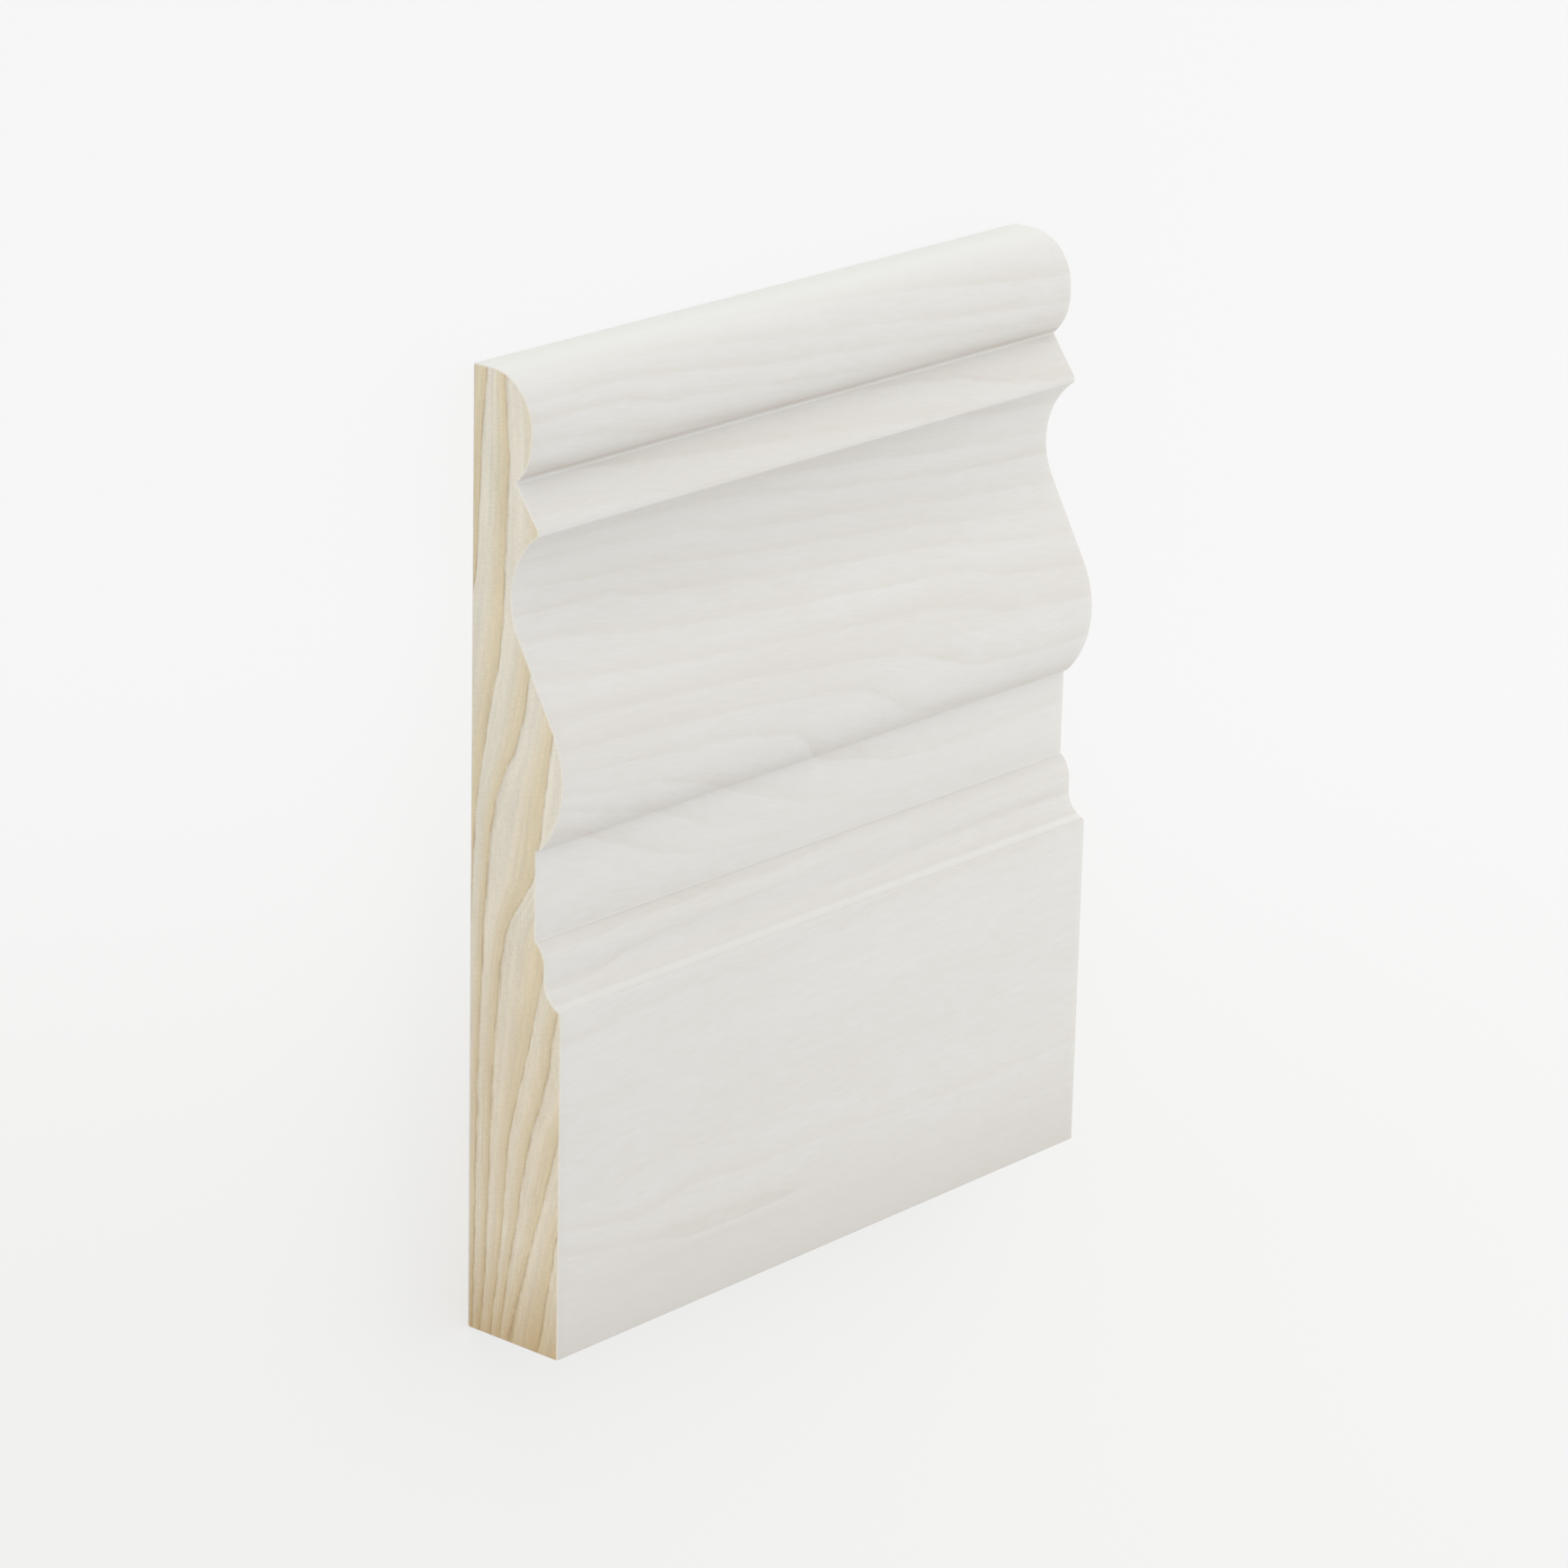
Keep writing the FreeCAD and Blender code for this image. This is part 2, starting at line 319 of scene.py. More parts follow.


# Growth lines on the limed face, top to bottom, each with its strengths at evenly spaced places from
# the near end to the far one and points of (distance along, height) in millimetres, read from
# the face seen square on; the first and last lie off the board and only close the outer gaps
faceLines = [
    ((0.3, 0.3, 0.3, 0.3, 0.3), [(0, 236), (180, 224)]),
    ((0.5, 0.6, 0.7, 0.9, 0.8), [
        (0, 223), (73, 219), (110, 217.5), (130, 216), (150, 214), (180, 211),
    ]),
    ((0.5, 0.5, 0.5, 0.9, 1.2), [
        (0, 220), (30, 218.5), (60, 216.8), (80, 214.5), (110, 212), (130, 209.4), (150, 207.6),
        (180, 204.8),
    ]),
    ((0.7, 1.1, 0.8, 0.5, 0.6), [
        (0, 214.3), (30, 214.3), (40, 213.8), (60, 211.3), (80, 209.2), (110, 207), (130, 205.2),
        (150, 202.9), (180, 201),
    ]),
    ((1.6, 0.8, 0.7, 0.7, 1.1), [
        (0, 211), (30, 210.3), (40, 207.8), (60, 206.2), (80, 204.3), (110, 201.7), (130, 200.2),
        (150, 198.3), (180, 195.4),
    ]),
    ((0.6, 1.1, 0.9, 1.2, 1.3), [
        (0, 205.6), (12, 205.2), (27, 203), (40, 200.9), (60, 199.4), (80, 198), (110, 196),
        (130, 194.7), (143, 193.2), (160, 189.3), (180, 187.5),
    ]),
    ((3.0, 1.6, 1.1, 1.0, 0.9, 0.8, 0.8, 1.0, 0.4), [
        (0, 199.1), (10, 198.1), (20, 195.9), (40, 194.1), (60, 192.5), (80, 191.2), (110, 189),
        (130, 188.3), (140, 186.2), (150, 183), (180, 180.5),
    ]),
    ((0.3, 0.3, 0.8, 1.1, 0.5), [
        (0, 190), (30, 188.8), (50, 186.5), (70, 184.8), (90, 182), (110, 179.6), (130, 177),
        (150, 175), (180, 172.8),
    ]),
    ((0.3, 0.7, 1.1, 0.9, 1.3), [
        (0, 182.5), (45, 182.4), (73, 180.1), (90, 177), (100, 174.7), (117, 173.2), (130, 171.2),
        (153, 169.2), (180, 168.1),
    ]),
    ((0.8, 0.4, 0.7, 0.6, 0.5), [
        (0, 178.5), (20, 177.8), (40, 176.2), (60, 173.9), (73, 171), (90, 169.5), (120, 166.7),
        (150, 163.8), (180, 161.2),
    ]),
    ((0.5, 0.6, 1.0, 0.6, 0.6), [
        (0, 172.7), (20, 170.8), (45, 169.2), (60, 167), (90, 164.3), (110, 163), (130, 161),
        (150, 158.7), (180, 155.9),
    ]),
    ((1.1, 0.9, 0.7, 0.7, 0.7), [
        (0, 166.8), (30, 166.2), (40, 163.8), (60, 162), (90, 159.3), (110, 158), (130, 156.6),
        (140, 155.6), (150, 153.8), (170, 151.2), (180, 151),
    ]),
    ((0.8, 0.9, 0.6, 0.8, 0.9), [
        (0, 162), (10, 161.7), (27, 158.4), (40, 156.5), (60, 155.1), (90, 153.2), (120, 151),
        (140, 149.7), (150, 147.2), (160, 145.7), (180, 143.6),
    ]),
    ((0.7, 0.9, 0.8, 0.8, 0.6), [
        (0, 154.4), (20, 151.7), (40, 150), (60, 148.3), (90, 146.4), (120, 144.7), (130, 144.2),
        (142, 141.8), (149, 139), (160, 138.2), (180, 136.6),
    ]),
    ((0.7, 1.0, 0.7, 1.2, 1.2), [
        (0, 146), (30, 144.3), (60, 142.6), (90, 139.7), (107, 138), (120, 135.4), (128, 132.3),
        (136, 129.2), (150, 128), (167, 126.4), (180, 127.2),
    ]),
    ((0.6, 0.8, 0.7, 1.0, 1.1), [
        (0, 139.9), (30, 139), (60, 136.7), (90, 134.2), (97, 132.9), (105, 129.6), (110, 126.5),
        (115, 123.1), (120, 120.4), (130, 118.5), (150, 117.6), (180, 116.9),
    ]),
    ((0.6, 0.6, 0.7, 1.0, 1.7, 1.0, 0.7, 0.8, 0.9), [
        (0, 135.2), (20, 133.7), (50, 131.5), (67, 129.4), (77, 126.6), (82, 123), (86, 119.4),
        (90, 116), (96, 113.8), (104, 112.2), (111, 110.8), (118, 108.8), (130, 107.8), (145, 107.4),
        (160, 108), (180, 109.2),
    ]),
    ((0.6, 0.6, 1.0, 1.2, 0.6, 0.4, 0.3, 0.3, 0.3), [
        (0, 131), (10, 128.8), (30, 126.4), (43, 123.1), (55, 118.5), (62, 115.1), (72, 111.1),
        (80, 107.9), (88, 105.6), (98, 104.2), (130, 103.5), (180, 103.2),
    ]),
    ((0.9, 0.7, 0.8, 0.2, 0.1, 0.1, 0.1, 0.1, 0.1), [
        (0, 127.5), (15, 123.2), (30, 119.3), (45, 113.4), (57, 107.9), (80, 103.7), (130, 101),
        (180, 99.8),
    ]),
    ((1.1, 0.9, 0.6, 0.2, 0.1, 0.1, 0.1, 0.1, 0.1), [
        (0, 122.3), (10, 119), (20, 114.9), (30, 110.4), (40, 106.3), (50, 103.9), (60, 102.2),
        (90, 99.8), (130, 98.2), (180, 97.3),
    ]),
    ((0.4, 0.7, 0.6, 0.3, 0.3), [
        (0, 93.2), (30, 93.5), (50, 93.8), (80, 93.7), (93, 95), (105, 95.8), (130, 95.3), (180, 94.5),
    ]),
    ((0.8, 0.7, 0.5, 0.4, 0.3), [
        (0, 85.2), (10, 84.8), (19, 85.7), (26, 87.9), (40, 89.1), (60, 89.5), (93, 90.6), (130, 91.3),
        (180, 92),
    ]),
    ((0.2, 0.2, 0.2, 0.3, 0.3, 0.5, 0.6, 1.3, 1.1), [
        (0, 82.5), (20, 82.9), (60, 84.7), (100, 86), (140, 87.4), (150, 87.7), (170, 87.6), (180, 87),
    ]),
    ((0.7, 0.4, 0.3, 0.7, 0.5), [
        (0, 73.9), (10, 74.2), (16, 75.1), (22, 76), (30, 76.5), (60, 76.7), (90, 77.4), (100, 78.6),
        (110, 79.6), (120, 80), (150, 80.3), (180, 80.9),
    ]),
    ((0.1, 0.1), [(0, 56), (180, 54)]),
    ((0.5, 0.4, 0.1, 0.1, 0.1, 0.1, 0.1, 0.1, 0.1), [
        (0, 35), (10, 34.7), (20, 36.4), (30, 38.2), (180, 37),
    ]),
    ((0.7, 0.9, 0.4, 0.6, 0.4), [
        (0, 31.2), (10, 29), (17, 27.8), (25, 26.5), (32, 26.3), (37, 28.4), (42, 29.4), (50, 29.1),
        (60, 28.2), (90, 27.8), (110, 26.5), (140, 25.5), (180, 26),
    ]),
    ((0.9, 0.9, 0.6, 0.4, 4, 7, 5, 4.5, 0.4, 0.1, 0.1, 0.1, 0.1, 0.1, 0.1, 0.1, 0.1, 0.1, 0.1), [
        (0, 25.9), (10, 23.7), (20, 21.6), (28, 19.9), (34, 19.2), (40, 17.2), (46, 16.4), (60, 16.2),
        (72, 16.3), (100, 16.6), (180, 16),
    ]),
    ((0.2, 0.4, 0.2, 0.2, 0.2), [(0, 13), (40, 13.4), (55, 13.8), (70, 13.2), (100, 12), (180, 10)]),
    ((0.2, 0.2, 0.2, 0.2, 0.2), [(0, -12), (180, -16)]),
]

# Growth rings through the wood, back to face, as points of (height, distance from the back) in
# millimetres, read from the near end; where they lie outside the board they only keep order
endRings = [
    [(0, -14), (100, -13), (140, -11), (170, -7.5), (220, -4)],
    [
        (0, -6), (120, -5), (150, -2.8), (170.5, 0.5), (176, 1.6), (184, 2.2), (203, 2.8), (213, 3.7),
        (220, 4.4),
    ],
    [
        (0, -1.5), (60, -0.2), (103, 0.7), (123, 1.9), (132, 3.5), (141, 4.9), (147, 6.4), (156, 8.4),
        (167, 9.6), (176, 9.8), (187, 10.2), (200, 11), (210, 10.2), (220, 9.3),
    ],
    [
        (0, 1.6), (22, 2.2), (60, 2.6), (82, 3.7), (95, 4.1), (112, 5.5), (120, 6.6), (126, 8),
        (132, 10.2), (137, 13.1), (143, 15.2), (150, 16.6), (157, 17.7), (165, 19.4), (187, 22.5),
        (205, 21.8), (220, 20.5),
    ],
    [
        (0, 3.9), (16, 5.4), (42, 6.4), (66, 7.4), (84, 8.9), (91, 9.9), (97, 11.4), (102, 14.1),
        (109, 19.1), (119, 20.8), (132, 22.6), (143, 24.2), (160, 29), (190, 34), (220, 34),
    ],
    [
        (0, 7.3), (8, 8.2), (27, 10.5), (38, 11.4), (47, 12.2), (54, 13.5), (66, 16.8), (74, 18.9),
        (88, 22), (94, 22.4), (110, 29), (140, 36), (220, 46),
    ],
    [
        (0, 9.8), (8, 11), (25, 13.9), (43, 17.1), (51, 18.8), (58, 21.6), (66, 23.6), (79, 25.8),
        (100, 35), (220, 56),
    ],
    [
        (0, 12.7), (6, 13.8), (19, 17.8), (26, 19.6), (33, 21.9), (47, 25.7), (53, 27.2), (80, 42),
        (220, 66),
    ],
    [(0, 21.2), (4, 22.4), (11, 23.6), (27, 26.3), (60, 40), (90, 54), (220, 76)],
    [(0, 30), (30, 38), (90, 66), (220, 86)],
]


growth = {
    "faceSoften": 5.0,  # mm to either side over which a line of the face is averaged
    "ringSoften": 4.0,  # and a ring
    "leastGap": 0.05,  # mm between two lines
    "fall": (0.035, 0.095),  # mm that the rings fall for each mm along, as the face's lines do
    "fallHeights": (60, 130),  # mm above the bottom edge at which the one and the other hold
    "lead": 0.35,  # mm by which the darkest line stands behind the ring's end as read
    "waves": [  # size and span in mm, radians for each mm of height, radians at the bottom edge
        (0.29, 58, 0.045, 0.4),
        (0.10, 21, -0.034, 1.9),
        (0.03, 9, 0.06, 4.0),
    ],
}


def softCurve(points, at, reach):
    # A curve straight from point to point, then averaged over reach to either side with weights that
    # fall as a raised cosine
    first, second = np.array(points, float).T
    offsets = np.linspace(-1, 1, 9)[1:-1]
    weights = 1 + np.cos(math.pi * offsets)
    total = sum(w * np.interp(at + reach * o, first, second) for o, w in zip(offsets, weights))
    return total / weights.sum()


def growthCount(lines, place):
    # How many lines lie before each place: the sum over neighbouring lines of the share of the gap
    # between them that is passed; and the width of the gap that the place is in
    gaps = np.maximum(np.diff(lines, axis=0), growth["leastGap"])
    passed = np.clip((place - lines[:-1]) / gaps, 0, 1)
    width = gaps[0] + (passed[1:] * np.diff(gaps, axis=0)).sum(0)
    return passed, passed.sum(0), width


def faceGrain(along, height):
    # On the face a line runs along the board and the count grows downwards
    table = np.linspace(-5, boardLength + 5, 400)
    lines = [softCurve(points, table, growth["faceSoften"]) for strengths, points in faceLines]
    drop = np.stack([-np.interp(along, table, line) for line in lines])
    passed, count, width = growthCount(drop, -height)
    strength = []
    for strengths, points in faceLines:
        spaced = np.linspace(0, boardLength, len(strengths))
        strength.append(np.interp(along, spaced, strengths))
    strong = strength[0] + (passed * np.diff(strength, axis=0)).sum(0)
    # Height straightened along the grain, so that fibres drawn on it follow the lines
    level = np.array([line.mean() for line in lines])
    fibre = level[0] + np.maximum(height + drop[0], 0)
    fibre = fibre + (passed * np.diff(level)[:, None]).sum(0) - np.maximum(-height - drop[-1], 0)
    return {"faceCount": count, "faceWidth": width, "faceStrength": strong, "faceFibre": fibre}


def woodRings(along, depth, height):
    # Through the wood the near end shows the rings as read; away from it they fall, and wander by the
    # sum of a few sine waves that are 0 there
    shift = growth["lead"]
    for size, span, slant, phase in growth["waves"]:
        turned = slant * height + phase
        shift = shift + size * (np.sin(along / span + turned) - np.sin(turned))
    table = np.linspace(-10, boardHeight + 40, 500)
    lines = [softCurve(points, table, growth["ringSoften"]) for points in endRings]
    start = height + along * np.interp(height, growth["fallHeights"], growth["fall"])
    places = np.stack([np.interp(start, table, line) for line in lines])
    count, width = growthCount(places, depth + shift)[1:]
    return {"ringCount": count, "ringWidth": width}


def addValues(mesh, name, values):
    data = mesh.attributes.new(name, "FLOAT", "POINT").data
    data.foreach_set("value", np.ascontiguousarray(values, np.float32))


def unrolledHeight(place, rows, cells):
    # Height for the face's grain, carried on round the top and bottom edges by the distance from
    # the face
    height = place[:, 1].copy()
    top, bottom = slice(0, cells + 1), slice(cells + rows, 2 * cells + rows + 1)
    height[top] += place[cells, 0] - place[top, 0]
    height[bottom] -= place[cells + rows, 0] - place[bottom, 0]
    return height


def pastCorner(at, place, rows, cells, corner):
    # Distance round the loop from a corner of the face, positive below it
    face = place[cells : cells + rows + 1]
    nearest = at[cells + np.argmin(np.hypot(*(face - corner).T))]
    return np.clip(at - nearest, -board["cornerReach"], board["cornerReach"])


def raisedSection(place, normal, along, inset, level, rows, cells):
    # The section at every station, drawn in at the ends and cut back between the latewood lines: the
    # rise is a raised cosine of the square of the share of the gap that is passed
    distance = np.repeat(along[:, None], len(place), 1)
    section = place[None] - inset[:, None, None] * normal[None]
    grain = faceGrain(distance.ravel(), level)
    rise = 0.5 - 0.5 * np.cos(2 * math.pi * (grain["faceCount"] % 1) ** 2)
    rise = rise * np.clip(grain["faceStrength"], 0, 1)
    onFace = np.zeros(len(place))
    onFace[cells : cells + rows] = 1
    start, fade = board["reliefStart"], board["reliefFade"]
    fromNear = np.clip((distance - start) / fade, 0, 1)
    fromFar = np.clip((boardLength - start - distance) / fade, 0, 1)
    proud = board["relief"] * (rise.reshape(distance.shape) - 1) * onFace * (fromNear * fromFar)
    section = section + proud[..., None] * normal[None]
    return section, np.concatenate([distance[..., None], section], -1).reshape(-1, 3)


def makeBoard():
    # Rings of points at each station, closed by a patch at each end
    at, place, normal, rows, cells = sectionLoop()
    along, inset = lengthStations()
    stations, points = len(along), len(place)
    level = np.tile(unrolledHeight(place, rows, cells), stations)
    section, ring = raisedSection(place, normal, along, inset, level, rows, cells)
    nearEnd = endPatch(section[0], rows, cells)
    farEnd = endPatch(section[-1], rows, cells)
    nearEnd = np.column_stack([np.full(len(nearEnd), along[0]), nearEnd])
    farEnd = np.column_stack([np.full(len(farEnd), along[-1]), farEnd])
    vertices = np.concatenate([ring, nearEnd, farEnd])

    numbers = np.arange(stations * points).reshape(stations, points)
    sides = quads(np.concatenate([numbers, numbers[:, :1]], 1))[:, ::-1]
    nearFaces = quads(endNumbers(0, len(ring), rows, cells))
    farNumbers = endNumbers((stations - 1) * points, len(ring) + len(nearEnd), rows, cells)
    farFaces = quads(farNumbers)[:, ::-1]
    faces = np.concatenate([sides, nearFaces, farFaces])

    # Material 0 is the limed face and edges, 1 the sawn ends and their arris, 2 the bare back
    strip = np.repeat(np.arange(stations - 1), points)
    column = np.tile(np.arange(points), stations - 1)
    rubbed = (strip < board["endSteps"]) | (strip >= stations - 1 - board["endSteps"])
    behind = column >= 2 * cells + rows
    slots = np.where(rubbed, 1, np.where(behind, 2, 0))
    slots = np.concatenate([slots, np.ones(len(nearFaces) + len(farFaces), int)])
    smooth = np.arange(len(faces)) < len(sides)

    x, depth, height = vertices.T
    mesh = bpy.data.meshes.new("limed_board")
    placed = np.column_stack([x - halfLength, height - halfHeight, depth]) * mm
    placed += np.array([(low.x + high.x) / 2, (low.y + high.y) / 2, low.z])
    mesh.from_pydata(placed.tolist(), [], faces.tolist())
    mesh.polygons.foreach_set("material_index", slots.astype(np.int32))
    mesh.polygons.foreach_set("use_smooth", smooth)

    # What the materials draw from: the grain everywhere, and on the loop also the distances from
    # the corners, how far the face looks up, and the arris, which place the painted light and shade
    unrolled = np.concatenate([level, nearEnd[:, 2], farEnd[:, 2]])
    grain = {**faceGrain(x, unrolled), **woodRings(x, depth, height)}
    for name, values in grain.items():
        addValues(mesh, name, values)
    face = mouldedFace()
    loopValues = {"upward": normal[:, 1]}
    for name, number in faceCorners.items():
        loopValues[name] = pastCorner(at, place, rows, cells, face[number][-1])
    inner = np.zeros(len(nearEnd) + len(farEnd))
    for name, values in loopValues.items():
        addValues(mesh, name, np.concatenate([np.tile(values, stations), inner]))
    nearRim = along < board["arrisReach"]
    farRim = along > boardLength - board["arrisReach"]
    arris = np.where(nearRim | farRim, 1.0, 0.0)
    arris[[0, -1]] = board["arrisRim"]
    addValues(mesh, "arris", np.concatenate([np.repeat(arris, points), inner]))
    mesh.update()
    piece = bpy.data.objects.new("limed_board", mesh)
    bpy.context.scene.collection.objects.link(piece)
    print("board made:", len(vertices), "vertices,", len(faces) * 2, "triangles")
    return piece


def linear(hexColour):
    # sRGB hex to linear light, channel by channel, with an alpha of 1
    parts = [int(hexColour[i : i + 2], 16) / 255 for i in (0, 2, 4)]
    return (*(p / 12.92 if p <= 0.04045 else ((p + 0.055) / 1.055) ** 2.4 for p in parts), 1)


def addNode(tree, kind, links=(), stops=None, **settings):
    # A shader node with its properties and colour stops, and at its inputs, in order or by name or
    # number, a value, a socket or a node, which stands for the first of its outputs that is in use
    node = tree.nodes.new("ShaderNode" + kind)
    for name, value in settings.items():
        setattr(node, name, value)
    if stops:
        elements = node.color_ramp.elements
        elements[0].position, elements[1].position = stops[0][0], stops[-1][0]
        for position, hexColour in stops[1:-1]:
            elements.new(position)
        for element, (position, hexColour) in zip(elements, stops):
            element.color = linear(hexColour)
    pairs = links.items() if isinstance(links, dict) else enumerate(links)
    for socket, value in pairs:
        if isinstance(value, bpy.types.Node):
            value = next(output for output in value.outputs if output.enabled)
        if isinstance(value, bpy.types.NodeSocket):
            tree.links.new(value, node.inputs[socket])
        else:
            node.inputs[socket].default_value = value
    return node


def newMaterial(name):
    material = bpy.data.materials.new(name)
    material.use_nodes = True
    material.node_tree.nodes.clear()
    return material, material.node_tree


def millimetres(tree):
    # Object coordinates counted in millimetres from the middle of the board's back
    place = addNode(tree, "TexCoord").outputs["Object"]
    return addNode(tree, "VectorMath", [place, (1 / mm, 1 / mm, 1 / mm)], operation="MULTIPLY")


def fadedByHeight(tree, height, reach, start, end, **settings):
    # From start to end between two heights in mm above the bottom edge
    first, last = (value - halfHeight for value in reach)
    return addNode(tree, "MapRange", [height, first, last, start, end], **settings)


def darkerFoot(tree, height, colour, s):
    # Painted shade: the colour multiplied by the foot's, which comes in towards the bottom edge by a
    # power
    foot = fadedByHeight(tree, height, (s["footReach"], 0), 0, 1)
    foot = addNode(tree, "Math", [foot, s["footPower"]], operation="POWER")
    links = {0: foot, 6: colour, 7: linear(s["foot"])}
    return addNode(tree, "Mix", links, data_type="RGBA", blend_type="MULTIPLY")


def spread(tree, noise, least, most):
    # The middle of a noise's range, in which nearly all of it lies, spread from least to most
    return addNode(tree, "MapRange", [noise, 0.3, 0.7, least, most])


def betweenLines(tree, count, width, sway):
    # Where a place lies between two lines that waver by sway in mm: the count, the share of the gap
    # that is passed, and the millimetres passed and still ahead
    moved = addNode(tree, "Math", [sway, width], operation="DIVIDE")
    swayed = addNode(tree, "Math", [count, moved], operation="ADD")
    share = addNode(tree, "Math", [swayed], operation="FRACT")
    passed = addNode(tree, "Math", [share, width], operation="MULTIPLY")
    ahead = addNode(tree, "Math", [width, passed], operation="SUBTRACT")
    return swayed, share, passed, ahead


limed = {
    "white": "D5D4D1",
    "line": "BBAF9F",  # latewood showing warm through the stain
    "showLine": 0.15,  # how much of it shows at the darkest
    "pale": "DCDBD9",  # earlywood just after a line takes the most stain
    "showPale": 0.18,
    "paleFade": (0.1, 0.8),  # shares of the gap between which it goes
    "lineFade": (0.58, 1.6, 6.0),  # share of the gap over which a line gathers, least and most mm
    "linePower": 2.0,  # how steeply it gathers
    "lineEdge": 0.95,  # mm over which it ends
    "lineMost": 1.15,  # a line of greater strength grows wider instead of darker
    "sway": (9.0, 3.0, 0.28),  # lines waver: length and width of a wave, and how far, in mm
    "patches": (13.0, 1.6),  # lines come and go: length and width of a patch in mm
    "patchNoise": (0.33, 0.64),  # noise at which a patch is weakest and strongest
    "showPatches": (0.6, 1.12),  # strength left there
    "fibre": (5.0, 0.45, 0.12),  # length and width in mm, and how much shows
    "streak": (11.0, 1.3, 0.09),
    "mottle": (50.0, 12.0, 0.07),
    "top": "E1E1DD",  # painted light: the top edge and what faces up lighter, and painted highlights in inward corners and on the plinth's arris
    "paintedLightPower": 5.0,  # how closely it keeps to what faces up
    "paintedLightReach": (110.0, 150.0),  # mm above the bottom edge between which it comes in
    "paintedShade": "A99A8B",  # painted shade above the inward corners and at the places below
    "paintedShadeReach": (-6.5, -1.8, -1.5, -0.8),  # mm past the corner: starts, is full, still is, and ends
    "paintedShadePower": 1.6,  # how steeply it starts
    "paintedShadeAbove": [("pastQuirk", 0.20), ("pastCorner", 0.07)],  # corner, and how much shows
    "placeCore": 0.3,  # share of a place's reach in which it is full
    # Painted shade where the face is lit less
    "paintedShadePlaces": [  # corner, mm above it round the face, reach either way in mm, and how much shows
        ("pastQuirk", 1.75, 0.7, 0.14),  # just above the quirk
        ("pastQuirk", -6.0, 9.0, 0.045),  # the fillet
        ("pastCorner", 29.5, 8.5, 0.07),  # crest of the round
    ],
    # Painted light: lighter lines and bands where the face is lit more
    "paintedLightPlaces": [
        ("pastQuirk", 0.0, 0.6, 0.34),  # painted highlight in the quirk
        ("pastQuirk", -24.0, 8.0, 0.17),  # high in the hollow
        ("pastCorner", 12.0, 8.0, 0.15),  # under the crest of the round
        ("pastCorner", -8.0, 10.0, 0.16),  # down the band
        ("pastStep", 0.0, 0.5, 0.25),
    ],
    "plinthPlace": (1.5, 1.5),  # painted highlight just above the plinth's arris: mm above it, and reach either way
    "showPlinth": (0.36, 0.52),  # at the near and far end, the painted highlight stronger towards the far end
    "showUnder": 0.03,  # painted shade where the face looks down
    "showLedge": 0.09,  # and painted shade on the ovolo and cove where they look up
    "ledgeReach": (110.0, 120.0),  # mm above the bottom edge between which that goes
    "showLow": 0.035,  # and painted shade on the lower plinth
    "lowReach": (62.0, 48.0),  # mm above the bottom edge
    "foot": "F2F0EE",  # painted shade: the bottom of the face is a little darker, by this factor
    "footReach": 35.0,  # mm
    "footPower": 1.8,
    "roughness": (0.48, 0.57),  # in and between the fibres
    "lineHeight": 0.030,  # mm, fine edge of the latewood
    "fibreDepth": 0.012,  # mm
}


